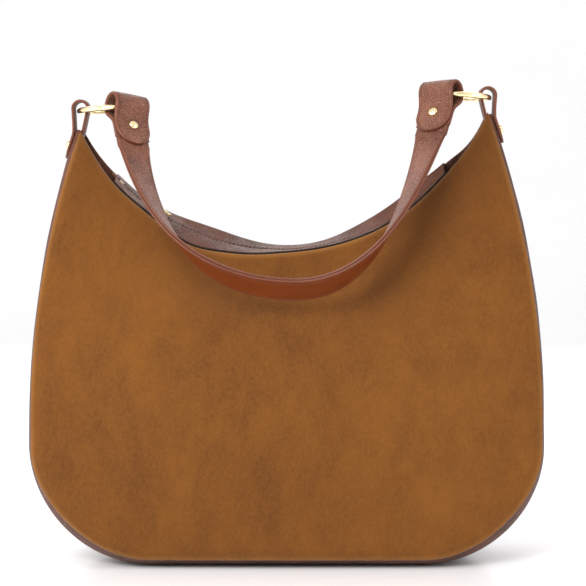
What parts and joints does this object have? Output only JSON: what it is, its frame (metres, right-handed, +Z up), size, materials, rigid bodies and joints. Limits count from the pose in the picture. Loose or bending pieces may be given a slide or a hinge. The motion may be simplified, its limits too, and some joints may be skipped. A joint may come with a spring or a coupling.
{
  "type": "hobo bag",
  "caption": "Zip-top hobo shoulder bag: suede panels on a leather gusset, a swinging leather strap on round rings, studs, lining and pockets.",
  "frame": {"origin": "centre of the flat base, on the surface it stands on", "axes": "+Z up, front towards -Y, +X to the right seen from the front"},
  "size_m": [0.403, 0.1624, 0.3791],
  "materials": {
    "suede": "caramel suede, fine nap with soft hand marks",
    "leather": "brown pebbled leather, semi-matt, painted edges",
    "leather_inside": "smooth orange-brown leather, semi-matt",
    "cloth": "tan cotton twill lining",
    "board": "stiffener board",
    "gold": "polished pale gold plating",
    "zip_tape": "dark brown woven zip tape",
    "zip_metal": "brushed gold zip chain"
  },
  "bodies": {
    "bag": {"front_panel": "suede", "back_panel": "suede", "gusset_left": "leather", "gusset_base": "leather", "gusset_right": "leather", "gusset_loop_left": "leather", "gusset_loop_right": "leather", "gusset_studs": "gold", "gusset_stud_backs": "gold", "front_facing": "leather_inside", "back_facing": "leather_inside", "front_lining": "cloth", "back_lining": "cloth", "gusset_lining": "cloth", "base_board": "board", "zip_strip_front": "leather", "zip_strip_back": "leather", "zip_tape_front": "zip_tape", "zip_tape_back": "zip_tape", "zip_teeth_front": "zip_metal", "zip_teeth_back": "zip_metal", "zip_stops": "zip_metal", "zip_end_tabs": "leather", "slip_pocket": "cloth", "zip_pocket_front": "cloth", "zip_pocket_tapes": "zip_tape", "zip_pocket_teeth": "zip_metal"},
    "ring_left": {"ring_left": "gold"},
    "ring_right": {"ring_right": "gold"},
    "strap": {"strap_outer": "leather", "strap_lining": "leather_inside", "strap_end_left": "leather", "strap_end_right": "leather", "strap_studs": "gold", "strap_stud_backs": "gold"},
    "zip_slider": {"zip_slider": "gold"},
    "zip_pull": {"zip_pull": "gold"},
    "pocket_slider": {"pocket_slider": "gold"},
    "pocket_pull": {"pocket_pull": "gold"}
  },
  "joints": [
    {"name": "strap_swing", "type": "hinge", "parent": "bag", "child": "strap", "pos_m": [-0.00214, -0.01996, 0.3625], "axis": [-0.9991, 0, -0.0423], "range_deg": [0, 180], "deforming": ["strap_end_left", "strap_end_right"]},
    {"name": "ring_left_turn", "type": "hinge", "parent": "bag", "child": "ring_left", "pos_m": [-0.13781, 0, 0.35656], "axis": [-0.0697, 0.0175, 0.9974], "continuous": true},
    {"name": "ring_right_turn", "type": "hinge", "parent": "bag", "child": "ring_right", "pos_m": [0.13353, 0, 0.36694], "axis": [0.0697, 0.0175, 0.9974], "continuous": true},
    {"name": "zip_slide", "type": "hinge", "parent": "bag", "child": "zip_slider", "pos_m": [-0.005, 0, 0.4205], "axis": [0, -1, 0], "range_deg": [0, 75]},
    {"name": "zip_pull_swing", "type": "hinge", "parent": "zip_slider", "child": "zip_pull", "pos_m": [-0.10716, 0, 0.28329], "axis": [0, -1, 0], "range_deg": [0, 150]},
    {"name": "pocket_zip_slide", "type": "slide", "parent": "bag", "child": "pocket_slider", "axis": [1, 0, 0], "range_m": [0, 0.102]},
    {"name": "pocket_pull_swing", "type": "hinge", "parent": "pocket_slider", "child": "pocket_pull", "pos_m": [-0.055, 0.03691, 0.188], "axis": [0, 0, -1], "range_deg": [0, 150]}
  ]
}
